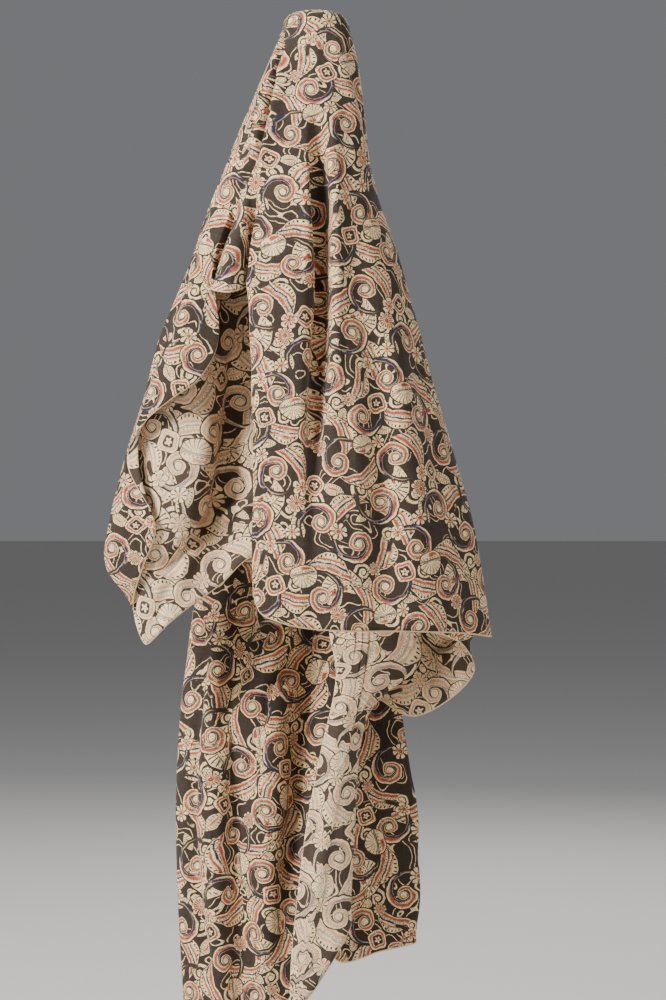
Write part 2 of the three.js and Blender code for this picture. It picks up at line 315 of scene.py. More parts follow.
def smooth_between(before, start, end, after, along):
    """Points on the smooth curve from start to end, which also heeds the points before and after."""
    gaps = []
    for one, two in ((before, start), (start, end), (end, after)):
        gaps.append(np.sqrt(np.linalg.norm(two - one, axis=-1, keepdims=True)) + 1e-9)
    first, middle, last = gaps
    leave = ((start - before) / first - (end - before) / (first + middle) + (end - start) / middle) * middle
    arrive = ((end - start) / middle - (after - start) / (middle + last) + (after - end) / last) * middle
    turn = 2 * start - 2 * end + leave + arrive
    bend = -3 * start + 3 * end - 2 * leave - arrive
    return ((turn * along + bend) * along + leave) * along + start


def fold_line(fold, shares):
    """The points of one fold line at these shares of the way down."""
    turn = math.radians(fold["bearing"])
    half = "left" if math.sin(turn) < 0 else "right"
    points = [(0, 0, 0)]
    for ring in RINGS:
        points.append((ring[half] * math.sin(turn), -ring["half"] * math.cos(turn), -ring["drop"]))
    places = list(zip(fold["x"], fold["y"]))
    for (x, y), drop in zip(places[:-1], fold["drops"]):
        points.append((x, y, -drop))
    points.append((*places[-1], -fold["hem"]))
    points = np.array(points, float)
    points = np.vstack([2 * points[0] - points[1], points, 2 * points[-1] - points[-2]])
    along = np.linspace(0, 1, 60, endpoint=False)[:, None]
    pieces = [smooth_between(*points[i : i + 4], along) for i in range(len(points) - 3)]
    line = np.vstack([*pieces, points[-2:-1]])
    reached = np.concatenate([[0], np.cumsum(np.linalg.norm(np.diff(line, axis=0), axis=1))])
    length = reached[-1]
    held = (length - SHORTEST) * shares * (1 - shares) ** 3
    down = length * shares - held
    return np.stack([np.interp(down, reached, line[:, k]) for k in range(3)], 1), length - down


def hang(columns, shares):
    """The hung cloth as rows of points, and how far each lies from the free edge, in millimetres."""
    lines, left = zip(*[fold_line(fold, shares) for fold in FOLDS])
    lines, left = np.stack(lines, 1), np.stack(left, 1)
    at = np.floor(columns).astype(int)
    along = (columns - at)[None, :, None]
    near = [lines[:, (at + step) % len(FOLDS)] for step in (-1, 0, 1, 2)]
    edge = left[:, at % len(FOLDS)] * (1 - along[..., 0]) + left[:, (at + 1) % len(FOLDS)] * along[..., 0]
    return smooth_between(*near, along), edge


# The net is first as coarse as its print needs, opened along four creases that the folds hide, and laid flat
# there by Blender's unwrap, so that the print is the same size all over the cloth. Each of the four pieces is
# then turned until one stretch of its free edge runs along the weave. Only then is the net made fine and hung.
CREASES = [
    {"crease": "strip crease", "edge_from": "slit end", "edge_to": "front corner", "runs": -90, "shift": (0, 0)},
    {"crease": "tuck", "edge_from": "right tail corner", "edge_to": "back pleat", "runs": 90, "shift": (0.043, -0.03)},
    {"crease": "back tuck", "edge_from": "back tuck", "edge_to": "tail crease 3", "runs": 90, "shift": (-0.02, 0.06)},
    {"crease": "wall tuck", "edge_from": "strip edge 1", "edge_to": "strip edge 8", "runs": -90, "shift": (0.03, 0.11)},
]
START = NAMES.index(CREASES[0]["crease"])


def net_column(name):
    """The column of the coarse net that a fold lies on, counted from the first crease."""
    return (NAMES.index(name) - START) % len(FOLDS) * COLUMNS // 2


def share_down(row, rows):
    """How far down a row of the net lies, as a share of the way from the hang point to the free edge."""
    return FIRST_RING + (1 - FIRST_RING) * row / rows


net = bmesh.new()
across, down = len(FOLDS) * COLUMNS // 2, ROWS // 2
bmesh.ops.create_grid(net, x_segments=across, y_segments=down, size=0.5)
bmesh.ops.reverse_faces(net, faces=net.faces)
creased = [net_column(row["crease"]) for row in CREASES]
for vertex in net.verts:
    vertex.co = (round((vertex.co.x + 0.5) * across), round((vertex.co.y + 0.5) * down), 0)
for edge in net.edges:
    one, two = edge.verts
    edge.seam = one.co.x == two.co.x and one.co.x in creased
points, _ = hang(START + np.arange(across + 1) * 2 / COLUMNS, share_down(np.arange(down + 1), down))
for vertex in net.verts:
    vertex.co = points[round(vertex.co.y), round(vertex.co.x)] * MM
skin = bpy.data.meshes.new("cloth_skin")
net.to_mesh(skin)
net.free()
cloth = bpy.data.objects.new("cloth_skin", skin)
bpy.context.scene.collection.objects.link(cloth)
bpy.context.view_layer.objects.active = cloth
cloth.select_set(True)
bpy.ops.object.mode_set(mode="EDIT")
bpy.ops.mesh.select_all(action="SELECT")
bpy.ops.uv.unwrap(method="MINIMUM_STRETCH", margin=0.0, iterations=10)
bpy.ops.object.mode_set(mode="OBJECT")

flat = np.empty((len(skin.loops), 2))
skin.uv_layers.active.uv.foreach_get("vector", flat.ravel())
corner = np.empty(len(skin.loops), int)
skin.loops.foreach_get("vertex_index", corner)
column, row = corner % (across + 1), corner // (across + 1)
laid = flat.reshape(-1, 4, 2)
laid_area = abs(np.cross(laid[:, 2] - laid[:, 0], laid[:, 3] - laid[:, 1])).sum() / 2
flat *= math.sqrt(sum(face.area for face in skin.polygons) / laid_area)
piece_of = np.repeat(np.searchsorted(creased, column.reshape(-1, 4).min(1), side="right") - 1, 4)
for number, piece in enumerate(CREASES):
    here = piece_of == number
    ends = [
        flat[here & (row == down) & (column == net_column(piece[end]))][0] for end in ("edge_from", "edge_to")
    ]
    along = ends[1] - ends[0]
    turn = math.radians(piece["runs"]) - math.atan2(along[1], along[0])
    turned = np.array([[math.cos(turn), math.sin(turn)], [-math.sin(turn), math.cos(turn)]])
    top = flat[here & (row == 0)].mean(0)
    flat[here] = (flat[here] - top) @ turned + piece["shift"]
skin.uv_layers.active.uv.foreach_set("vector", flat.ravel())
skin.uv_layers.active.name = "weave"

# The creases that the eye finds first, listed one by one: between which folds, the way down as (x, drop), how far
# the cloth stands out towards its printed side (or in, below 0), half its width, and its fade at either end.
HAND_CREASES = [
    {"crease": "beside the strip", "between": ("strip edge 6", "panel edge 3"),
     "path": [(-35, 28), (-37, 52), (-41, 75), (-46, 92), (-56, 132), (-67, 164), (-74, 188)],
     "lift": -13, "width": 4.5, "fade": (0.08, 0.2)},
    {"crease": "panel roll", "between": ("lip end", "valley left"),
     "path": [(-29, 35), (-33, 75), (-40, 110), (-48, 145), (-57, 180)],
     "lift": 6, "width": 6, "fade": (0.2, 0.3), "lean": -3},
    {"crease": "strip roll", "between": ("strip edge 2", "strip crease"),
     "path": [(-45, 55), (-54, 92), (-66, 132), (-80, 180)],
     "lift": 3, "width": 6, "fade": (0.3, 0.4)},
    {"crease": "valley", "between": ("left ridge", "mid panel"),
     "path": [(0, 105), (-3, 172), (0, 237), (6, 290), (4, 358), (-3, 430), (-8, 505)],
     "lift": -6, "width": 11, "fade": (0.2, 0.25)},
    {"crease": "valley ridge", "between": ("left ridge", "valley"),
     "path": [(-6, 115), (-12, 172), (-10, 237), (-6, 300), (-8, 380)],
     "lift": 4, "width": 6, "fade": (0.3, 0.3), "lean": 4},
    {"crease": "right of the valley", "between": ("valley", "mid panel"),
     "path": [(17, 110), (20, 170), (22, 230), (22, 290), (22, 360), (22, 430)],
     "lift": 4, "width": 6, "fade": (0.2, 0.3), "lean": -2},
    {"crease": "soft valley", "between": ("mid panel", "right flank"),
     "path": [(48, 270), (58, 330), (62, 370), (67, 423), (61, 481), (66, 540), (68, 590)],
     "lift": -5, "width": 11, "fade": (0.3, 0.15)},
    {"crease": "mid swell", "between": ("mid panel", "right ridge"),
     "path": [(36, 300), (40, 380), (42, 460), (44, 560)],
     "lift": 3, "width": 13, "fade": (0.3, 0.2)},
    {"crease": "flank swell", "between": ("soft fold", "right side"),
     "path": [(72, 300), (84, 380), (94, 460), (104, 560)],
     "lift": 3, "width": 12, "fade": (0.3, 0.2)},
    {"crease": "flank trough", "between": ("right ridge", "under turn"),
     "path": [(84, 290), (104, 380), (120, 460), (134, 560)],
     "lift": -3, "width": 9, "fade": (0.3, 0.2)},
    {"crease": "top ridge", "between": ("valley right", "right flank"),
     "path": [(17, 25), (26, 57), (36, 92), (42, 124), (50, 170)],
     "lift": 3, "width": 7, "fade": (0.2, 0.4)},
    {"crease": "beside the top ridge", "between": ("soft fold", "right side"),
     "path": [(30, 30), (37, 60), (44, 95), (52, 140), (62, 190)],
     "lift": -3, "width": 6, "fade": (0.2, 0.4)},
    {"crease": "above the slit", "between": ("lip", "slit fold"),
     "path": [(-60, 195), (-62, 222), (-63, 250)],
     "lift": -5, "width": 5, "fade": (0.4, 0)},
    {"crease": "lip roll", "between": ("strip crease", "lip end"),
     "path": [(-78, 222), (-84, 262)],
     "lift": 4, "width": 9, "fade": (0.4, 0)},
    {"crease": "beside the lip", "between": ("strip edge 8", "lip"),
     "path": [(-81, 197), (-86, 215), (-94, 240), (-102, 268)],
     "lift": -7, "width": 5, "fade": (0.3, 0)},
    {"crease": "strip trough", "between": ("left side", "strip crease"),
     "path": [(-112, 205), (-134, 280), (-150, 330), (-168, 385)],
     "lift": -4, "width": 9, "fade": (0.3, 0.3)},
    {"crease": "wall crease", "between": ("edge peak", "tip side"),
     "path": [(-87, 291), (-84, 376), (-90, 437), (-93, 469), (-102, 499), (-119, 528), (-140, 553), (-160, 550)],
     "lift": 10, "width": 7, "fade": (0.2, 0.1)},
    {"crease": "wall puff", "between": ("edge peak", "tip side"),
     "path": [(-108, 390), (-112, 440), (-122, 480), (-140, 520)],
     "lift": -7, "width": 14, "fade": (0.3, 0.3)},
    {"crease": "recess crease", "between": ("edge peak", "wall crease"),
     "path": [(-69, 291), (-72, 346), (-77, 393), (-78, 470)],
     "lift": 4, "width": 6, "fade": (0.2, 0.3)},
    {"crease": "flap top", "between": ("edge peak", "wall crease"),
     "path": [(-107, 510), (-85, 501), (-66, 494)],
     "lift": -6, "width": 8, "fade": (0.25, 0.1)},
    {"crease": "above the flap", "between": ("edge peak", "wall crease"),
     "path": [(-105, 495), (-85, 486), (-66, 479)],
     "lift": 5, "width": 6, "fade": (0.25, 0.1)},
    {"crease": "tip fold", "between": ("wall 2", "tip side"),
     "path": [(-140, 560), (-152, 590), (-160, 615)],
     "lift": 4, "width": 6, "fade": (0.3, 0.1)},
    {"crease": "inside the strip", "between": ("wall puff", "left side"),
     "path": [(-178, 450), (-172, 480), (-160, 520)],
     "lift": 4, "width": 7, "fade": (0.3, 0.3)},
    {"crease": "tail crease", "between": ("left tail side", "tail ridge 2"),
     "path": [(-110, 630), (-118, 660), (-121, 705), (-126, 772), (-125, 829), (-118, 913), (-112, 980)],
     "lift": -6, "width": 6, "fade": (0.1, 0.05)},
    {"crease": "tube border", "between": ("tail crease 1", "tail crease 3"),
     "path": [(-11, 641), (-24, 662), (-45, 674), (-54, 716), (-62, 744), (-68, 770), (-76, 800), (-80, 860)],
     "lift": -9, "width": 9, "fade": (0.1, 0.3)},
    {"crease": "tube", "between": ("left tail side", "tail ridge 2"),
     "path": [(-44, 650), (-76, 690), (-92, 740), (-98, 800), (-102, 880), (-100, 960)],
     "lift": 6, "width": 13, "fade": (0.2, 0.2)},
    {"crease": "gather", "between": ("left tail side", "tail crease 3"),
     "path": [(-104, 600), (-67, 616), (-23, 638)],
     "lift": -8, "width": 5, "fade": (0.2, 0.2)},
    {"crease": "gather puff", "between": ("left tail side", "tail crease 3"),
     "path": [(-98, 626), (-64, 642), (-30, 664)],
     "lift": 5, "width": 8, "fade": (0.25, 0.25)},
    {"crease": "beside the turned strip", "between": ("tail ridge 2", "tail crease 3"),
     "path": [(0, 616), (-3, 650), (-10, 700), (-20, 770), (-28, 850), (-36, 950)],
     "lift": -10, "width": 8, "fade": (0, 0.3)},
    {"crease": "tail swell", "between": ("tail ridge 1", "turned fold"),
     "path": [(-36, 720), (-42, 790), (-48, 870), (-52, 960)],
     "lift": 5, "width": 12, "fade": (0.3, 0.1)},
    {"crease": "turned ridge", "between": ("turned ridge", "turned edge 3"),
     "path": [(40, 660), (28, 700), (18, 760), (8, 830), (0, 910)],
     "lift": -4, "width": 9, "fade": (0.4, 0.2)},
    {"crease": "right tail shade", "between": ("right tail corner", "right tail side"),
     "path": [(60, 690), (56, 780), (60, 860), (64, 940)],
     "lift": -5, "width": 8, "fade": (0.2, 0.05)},
    {"crease": "right tail swell", "between": ("right tail corner", "back valley"),
     "path": [(76, 710), (86, 780), (88, 860), (90, 935)],
     "lift": 3, "width": 8, "fade": (0.2, 0.05)},
    {"crease": "corner trough", "between": ("tuck", "inner fold"),
     "path": [(112, 612), (114, 640), (118, 664), (116, 684)],
     "lift": 11, "width": 7, "fade": (0.05, 0.35)},
    {"crease": "corner roll", "between": ("tuck", "inner fold"),
     "path": [(95, 640), (99, 670), (100, 704)],
     "lift": -6, "width": 8, "fade": (0.1, 0.1)},
    {"crease": "back roll", "between": ("back valley", "back pleat"),
     "path": [(0, 120), (-6, 300), (-14, 520), (-18, 760), (-18, 930)],
     "lift": -4, "width": 9, "fade": (0.3, 0.1)},
    {"crease": "back drag", "between": ("back valley", "back ridge"),
     "path": [(22, 60), (28, 180), (34, 330), (32, 480)],
     "lift": -4, "width": 7, "fade": (0.3, 0.4)},
    {"crease": "back left trough", "between": ("back fold", "left tail side"),
     "path": [(-38, 130), (-64, 290), (-84, 450), (-94, 600), (-98, 760)],
     "lift": -5, "width": 8, "fade": (0.3, 0.3)},
    {"crease": "back left swell", "between": ("back fold", "left tail side"),
     "path": [(-60, 260), (-78, 420), (-86, 600), (-90, 800), (-88, 980)],
     "lift": 4, "width": 12, "fade": (0.3, 0.1)},
    {"crease": "right tail back", "between": ("right tail side", "back ridge"),
     "path": [(74, 480), (64, 640), (56, 760), (58, 900)],
     "lift": -5, "width": 9, "fade": (0.3, 0.1)},
    {"crease": "right back swell", "between": ("right tail side", "back ridge"),
     "path": [(44, 240), (60, 400), (74, 560), (84, 760), (86, 930)],
     "lift": 4, "width": 12, "fade": (0.3, 0.1)},
    {"crease": "right side drag", "between": ("right flank", "under turn"),
     "path": [(46, 70), (58, 150), (74, 240), (96, 340)],
     "lift": -3, "width": 7, "fade": (0.3, 0.4)},
]
PATH_STEPS = 80
UNEVEN = 0.8  # how far the cloth wavers between its creases
UNEVEN_SIZE = (20, 20, 95)
EDGE_WAVE = 2.0  # how far its free edge wavers
EDGE_WAVE_SIZE = 34
EDGE_WAVE_REACH = 30


def wavering(points, size):
    """Soft random hills over the points, of this size, each between -1 and 1."""
    spots = (points / size).reshape(-1, 3)
    return np.array([noise.noise(spot) for spot in spots]).reshape(points.shape[:-1])


def eased(value):
    """0 to 1 with a soft start and a soft end."""
    held = np.clip(value, 0, 1)
    return held * held * (3 - 2 * held)


def creased_by_hand(points, to_edge):
    """The hung points, all but the last column, with the creases above and a slight unevenness worked in."""
    hung = points[:, :-1]
    around = np.roll(hung, -1, 1) - np.roll(hung, 1, 1)
    outward = np.cross(np.gradient(hung, axis=0), around)
    outward /= np.linalg.norm(outward, axis=-1, keepdims=True)
    moved = np.zeros_like(hung)
    for crease in HAND_CREASES:
        first, last = (2 * net_column(name) for name in crease["between"])
        columns = np.arange(first, last + 1 if last > first else last + 1 + hung.shape[1]) % hung.shape[1]
        sheet, out = hung[:, columns], outward[:, columns]
        stops = []
        for x, drop in crease["path"]:
            gap = (sheet[..., 0] - x) ** 2 + (sheet[..., 2] + drop) ** 2
            stops.append(np.unravel_index(gap.argmin(), gap.shape))
        share = np.linspace(0, 1, PATH_STEPS)
        at = np.linspace(0, 1, len(stops))
        rows, cols = (np.interp(share, at, way) for way in np.transpose(stops))
        row, col = rows.astype(int), cols.astype(int)
        row_on, col_on = np.minimum(row + 1, len(hung) - 1), np.minimum(col + 1, len(columns) - 1)
        low, side = (rows - row)[:, None], (cols - col)[:, None]
        line = (sheet[row, col] * (1 - side) + sheet[row, col_on] * side) * (1 - low)
        line += (sheet[row_on, col] * (1 - side) + sheet[row_on, col_on] * side) * low
        gaps = np.linalg.norm(sheet[:, :, None] - line, axis=-1)
        near = gaps.argmin(-1)
        start, end = (max(fade, 0.001) for fade in crease["fade"])
        strength = eased(share[near] / start) if crease["fade"][0] else 1
        strength = strength * (eased((1 - share[near]) / end) if crease["fade"][1] else 1)
        strength = strength * np.exp(-((gaps.min(-1) / crease["width"]) ** 2))
        moved[:, columns] += out * (crease["lift"] * strength)[..., None]
        if "lean" in crease:
            way = np.gradient(line, axis=0)[near]
            aside = np.cross(out, way)
            aside /= np.linalg.norm(aside, axis=-1, keepdims=True) + 1e-9
            moved[:, columns] += aside * (crease["lean"] * strength)[..., None]
    waver = UNEVEN * wavering(hung, UNEVEN_SIZE)
    near_edge = np.exp(-((to_edge[:, :-1] / EDGE_WAVE_REACH) ** 2))
    waver += EDGE_WAVE * wavering(hung, EDGE_WAVE_SIZE) * near_edge
    return hung + moved + outward * waver[..., None]


net = bmesh.new()
net.from_mesh(skin)
for vertex in net.verts:
    vertex.co = (vertex.index % (across + 1), vertex.index // (across + 1), 0)
bmesh.ops.subdivide_edges(net, edges=net.edges, cuts=1, use_grid_fill=True)
points, to_edge = hang(
    START + np.arange(2 * across + 1) / COLUMNS, share_down(np.arange(ROWS + 1), ROWS)
)
points = creased_by_hand(points, to_edge)
from_edge = net.verts.layers.float.new("from_edge")
top_ring = []
for vertex in net.verts:
    column, row = round(2 * vertex.co.x), round(2 * vertex.co.y)
    if row == 0:
        top_ring.append(vertex)
    vertex.co = points[row, column % (2 * across)] * MM
    vertex[from_edge] = to_edge[row, column] * MM
bmesh.ops.remove_doubles(net, verts=net.verts, dist=1e-7)
top_ring = [vertex for vertex in top_ring if vertex.is_valid]
bmesh.ops.pointmerge(net, verts=top_ring, merge_co=(0, 0, 0))
net.to_mesh(skin)
net.free()
skin.shade_smooth()
# The print: a resist and mordant print from carved blocks, in brick red, indigo and a soft brown-black ground
# round cream motifs. One repeat is charted below, in millimetres of cloth. Each motif is a formula on its own
# place, where its edge lies about 1 from its middle, and gives three inks: x the ground, y the red, z the blue.
REPEAT = (128, 165)
EDGE = 0.014  # how softly an ink ends, as a share of a motif's half width
THREAD = 0.7  # from one thread to the next but one


class Field:
    """A number that changes over the cloth, so that a motif can be written as a formula."""

    tree = None

    def __init__(self, socket):
        self.socket = socket

    def __add__(self, other):
        return work("ADD", self, other)

    __radd__ = __add__

    def __sub__(self, other):
        return work("SUBTRACT", self, other)

    def __rsub__(self, other):
        return work("SUBTRACT", other, self)

    def __mul__(self, other):
        return work("MULTIPLY", self, other)

    __rmul__ = __mul__

    def __truediv__(self, other):
        return work("DIVIDE", self, other)


def feed(socket, value):
    """Links a field to a node's input, or sets the input to a plain number or vector."""
    if isinstance(value, Field):
        Field.tree.links.new(value.socket, socket)
    else:
        socket.default_value = value


def node(kind, inputs=(), output=0, **settings):
    """A new node with its settings and its inputs, given as {name or number: value}. Returns its output."""
    made = Field.tree.nodes.new(kind)
    for name, value in settings.items():
        setattr(made, name, value)
    for name, value in dict(inputs).items():
        feed(made.inputs[name], value)
    return Field(made.outputs[output])


def work(operation, *values):
    return node("ShaderNodeMath", dict(enumerate(values)), operation=operation)


def inside(distance, soft=EDGE):
    """1 where the distance is below 0, else 0, with a short slope between."""
    return node("ShaderNodeMapRange", {"Value": distance, "From Min": soft, "From Max": -soft})


def band(value, low, high, soft=EDGE):
    """1 where the value lies from low to high."""
    return inside(work("ABSOLUTE", value - (low + high) / 2) - (high - low) / 2, soft)


def both(one, two):
    return one * two


def either(one, two):
    return work("MAXIMUM", one, two)


def without(one, two):
    return one * (1 - two)


def waves(angle, count, phase=0.0):
    """1, 0, -1, 0 and so on round the motif, with count waves in a full turn."""
    return work("COSINE", work("MULTIPLY_ADD", angle, 2 * math.pi * count, phase))


def far(x, y):
    """How far a place lies from a middle."""
    return work("SQRT", work("MULTIPLY_ADD", x, x, y * y))


def patches(place, scale, detail, output="Fac"):
    """Soft patches, this many to a millimetre."""
    made = {"Vector": place, "Scale": scale, "Detail": detail}
    return node("ShaderNodeTexNoise", made, output, noise_dimensions="2D")


def parts_of(vector):
    """The three numbers of a vector."""
    split = node("ShaderNodeSeparateXYZ", {0: vector}).socket.node
    return [Field(socket) for socket in split.outputs]


def rising(value, start, end):
    """0 up to the start, 1 from the end on, and a soft rise between."""
    limits = {"Value": value, "From Min": start, "From Max": end}
    return node("ShaderNodeMapRange", limits, interpolation_type="SMOOTHSTEP")


def motif(name):
    """Makes a drawing function into a node group: from a place to its inks and to what it covers."""

    def drawn(draw):
        tree = bpy.data.node_groups.new(name, "ShaderNodeTree")
        tree.interface.new_socket("x", in_out="INPUT", socket_type="NodeSocketFloat")
        tree.interface.new_socket("y", in_out="INPUT", socket_type="NodeSocketFloat")
        tree.interface.new_socket("inks", in_out="OUTPUT", socket_type="NodeSocketVector")
        tree.interface.new_socket("cover", in_out="OUTPUT", socket_type="NodeSocketFloat")
        Field.tree = tree
        x, y = (Field(socket) for socket in tree.nodes.new("NodeGroupInput").outputs[:2])
        dark, red, blue, cover = draw(x, y, far(x, y), work("ARCTAN2", y, x) / (2 * math.pi))
        out = tree.nodes.new("NodeGroupOutput")
        inks = node("ShaderNodeCombineXYZ", {0: dark, 1: red, 2: blue})
        tree.links.new(inks.socket, out.inputs["inks"])
        tree.links.new(cover.socket, out.inputs["cover"])
        return tree

    return drawn


@motif("scroll")
def scroll(x, y, reach, turn):
    """An arm that winds in to a round eye and runs out to a point, red outside and edged with blue inside."""
    wound = work("LOGARITHM", reach, 2.6) - turn
    share = work("FRACT", wound)
    along = wound - share + turn
    gap = work("MULTIPLY_ADD", rising(along, -1.15, -0.38), 0.8, 0.24)
    tail = inside(along + 0.38)
    arm = both(inside(gap - share, 0.03), tail)
    eye = inside(reach - 0.22)
    outside_eye = inside(0.27 - reach)
    red = both(both(band(share, 0.62, 0.86, 0.03), arm), outside_eye)
    blue = both(both(band(share, gap + 0.02, gap + 0.18, 0.03), arm), outside_eye)
    dots = both(band(share, 0.5, 0.56, 0.02), inside(waves(turn, 22) + 0.1, 0.3))
    outline = without(band(share, 0.58, 0.9, 0.02), band(share, 0.62, 0.86, 0.02)) * 0.6
    ring = both(inside(0.22 - reach), inside(reach - 0.27))
    dark = either(1 - either(arm, eye), either(ring, both(either(dots, outline), outside_eye)))
    filled = both(either(inside(gap - 0.12 - share), inside(along + 1.1)), tail)
    rim = both(inside(share - 0.09), inside(along - 0.62))
    return dark, red, blue, either(filled, rim)


@motif("bent_leaf")
def bent_leaf(x, y, reach, turn):
    """A bent leaf with two points, banded along its hollow side and ticked along the other."""
    bent = x - 0.62 * (y * y) + 0.16
    half = work("MAXIMUM", (1 - y * y) * (0.36 - 0.1 * y), 0)
    hollow = half - bent
    back = bent + half
    edge = work("ABSOLUTE", bent) - half
    red = both(band(hollow, 0.05, 0.16, 0.012), inside(edge + 0.03))
    dots = both(band(hollow, 0.2, 0.235, 0.01), inside(work("SINE", y * 52) + 0.1, 0.3))
    blue = both(band(hollow, 0.255, 0.325, 0.012), inside(edge + 0.03))
    second = both(band(hollow, 0.4, 0.48, 0.012), inside(edge + 0.06))
    ticks = both(band(back, 0.035, 0.14, 0.01), inside(work("SINE", y * 44) + 0.3, 0.2))
    outline = either(band(hollow, 0.165, 0.18, 0.008), band(hollow, 0.5, 0.515, 0.008)) * 0.8
    drawing = either(either(dots, ticks), outline)
    dark = either(inside(edge * -1, 0.012), both(drawing, inside(edge + 0.02)))
    shown = both(inside(edge - 0.06), inside(work("ABSOLUTE", y) - 1.03))
    return dark, either(red, second), blue, shown


def daisy(petals, redness, gap):
    """A round flower with this many petals, red as far out as redness."""

    def drawn(x, y, reach, turn):
        petal = work("ABSOLUTE", waves(turn, petals / 2))
        rim = work("MULTIPLY_ADD", work("SQRT", petal), 0.4, 0.6)
        split = both(inside(petal - gap, 0.12), inside(0.3 - reach))
        dark = either(inside(rim - reach), split)
        streak = both(inside(0.8 - petal, 0.08), inside(reach - redness))
        red = without(either(inside(reach - 0.22), streak), dark)
        seeds = both(band(reach, 0.1, 0.19), inside(waves(turn, 7) + 0.2, 0.3))
        return either(dark, seeds), red, dark * 0.0, inside(reach - rim - 0.09)

    return drawn


red_daisy = motif("red_daisy")(daisy(9, 0.8, 0.42))
pale_daisy = motif("pale_daisy")(daisy(8, 0.45, 0.5))
blossom = motif("blossom")(daisy(5, 0.66, 0.3))


@motif("ribbed_cap")
def ribbed_cap(x, y, reach, turn):
    """A fan of ribs under a cap, the cap part red over a row of dots and a blue line."""
    tall = work("MAXIMUM", y, 0) * 1.5 + work("MINIMUM", y, 0)
    out = far(x, tall)
    cap = inside(y * -1)
    ribs = without(both(inside(work("ABSOLUTE", waves(turn, 9)) - 0.3, 0.1), inside(0.3 - reach)), cap)
    dots = both(band(y, 0.15, 0.23), inside(work("SINE", x * 24) + 0.1, 0.2))
    dark = either(either(inside(1 - out), ribs), either(dots, band(y, -0.05, 0.0)))
    red = both(both(inside(0.3 - y), inside(out - 0.88)), inside(x * -1 - 0.1, 0.06))
    blue = both(band(y, 0.02, 0.11), inside(out - 0.95))
    return dark, red, blue, inside(out - 1.1)


@motif("pod")
def pod(x, y, reach, turn):
    """A pointed seed pod with ticks round its rim and a red and blue heart."""
    edge = far(work("ABSOLUTE", x) + 0.8, y) - 1.28
    ticks = both(band(edge, -0.22, -0.05), inside(work("SINE", y * 30) + 0.5, 0.2))
    dark = either(either(inside(edge * -1), ticks), band(edge, -0.3, -0.27))
    heart = inside(edge + 0.34)
    red = both(heart, inside(-0.03 - x))
    blue = both(heart, inside(x + 0.1))
    return dark, red, blue, inside(edge - 0.08)


@motif("fan")
def fan(x, y, reach, turn):
    """A broad half shell with rows of dots along its hollow side and ribs out to its rim."""
    hollow = far(x, y - 1.1) - 0.92
    edge = work("MAXIMUM", reach - 1, hollow * -1)
    body = inside(edge + 0.04)
    row = work("FRACT", hollow * 7)
    dots = both(both(inside(row - 0.35, 0.08), inside(work("SINE", x * 30) - 0.1, 0.2)), inside(hollow - 0.56))
    ribs = both(inside(0.62 - hollow), inside(waves(turn, 26) + 0.55, 0.2))
    red = both(both(body, band(hollow, 0.06, 0.3)), inside(work("SINE", x * 11) + 0.2, 0.2))
    blue = both(body, band(hollow, 0.56, 0.61))
    dark = either(inside(edge * -1), both(body, either(dots, ribs)))
    return dark, red, blue, inside(edge - 0.07)


@motif("curl")
def curl(x, y, reach, turn):
    """A thin tendril wound in to a berry."""
    wound = work("LOGARITHM", reach, 2.3) - turn
    share = work("FRACT", wound)
    along = wound - share + turn
    line = both(band(share, work("MULTIPLY_ADD", along, 0.22, 0.66), 0.9, 0.05), inside(along + 0.55))
    line = either(line, inside(reach - 0.22))
    near = either(both(inside(0.12 - share), inside(along + 0.5)), inside(along + 1.1))
    return 1 - line, line * 0.0, line * 0.0, either(near, inside(reach - 0.3))


@motif("loop")
def loop(x, y, reach, turn):
    """A squared ring, red inside cream, round a small rosette."""
    square = work("SQRT", far(x * x, y * y))
    rosette = inside(reach - (0.3 + 0.1 * waves(turn, 5)))
    dark = either(inside(1 - square), without(inside(square - 0.52), rosette))
    red = either(band(square, 0.66, 0.84), inside(reach - 0.12))
    blue = band(square, 0.52, 0.58)
    return dark, red, blue, inside(square - 1.08)


# The repeat, lowest layer first. Each place is (x, drop, half width, turn), and a half width below 0 mirrors.
CHART = [
    {"motif": curl, "places": [
        (62, 78, 9, 30), (124, 10, -10, 100), (40, 70, -8, 150), (84, 126, 9, 260), (22, 2, -9, 300),
        (124, 84, -8, 60), (44, 20, 8, 190), (92, 44, -8, 240), (6, 118, 8, 20), (70, 164, -9, 130)]},
    {"motif": pod, "places": [
        (2, 28, 13, 20), (42, 160, 12, 62), (64, 94, 12, -24), (104, 108, 10, 80), (68, 24, 10, 120)]},
    {"motif": fan, "places": [(98, 162, 23, 20), (40, 92, 21, 190)]},
    {"motif": bent_leaf, "places": [
        (50, 14, 27, -62), (104, 34, -28, 28), (86, 64, 26, 152), (28, 68, -28, 76), (4, 130, 28, -150),
        (62, 108, -25, 12), (76, 150, 27, 110), (124, 98, -26, -100)]},
    {"motif": scroll, "places": [(90, 12, -17, 200), (60, 50, -17, 150), (20, 98, 16, 250), (112, 136, 16, 100)]},
    {"motif": scroll, "places": [(26, 24, 17, 20), (118, 60, 16, 320), (84, 94, 17, 210), (52, 134, -16, 60)]},
    {"motif": ribbed_cap, "places": [(4, 74, 14, 8), (80, 122, 12, 190)]},
    {"motif": loop, "places": [(104, 82, 10, 10), (24, 152, 10, 40)]},
    {"motif": red_daisy, "places": [(2, 4, 10, 0), (34, 116, 9, 0), (74, 76, 7, 10)]},
    {"motif": pale_daisy, "places": [(42, 36, 9, 12), (124, 32, 8, 20), (98, 118, 7, 0)]},
    {"motif": blossom, "places": [(8, 154, 9, 0), (102, 44, 8, 50)]},
]


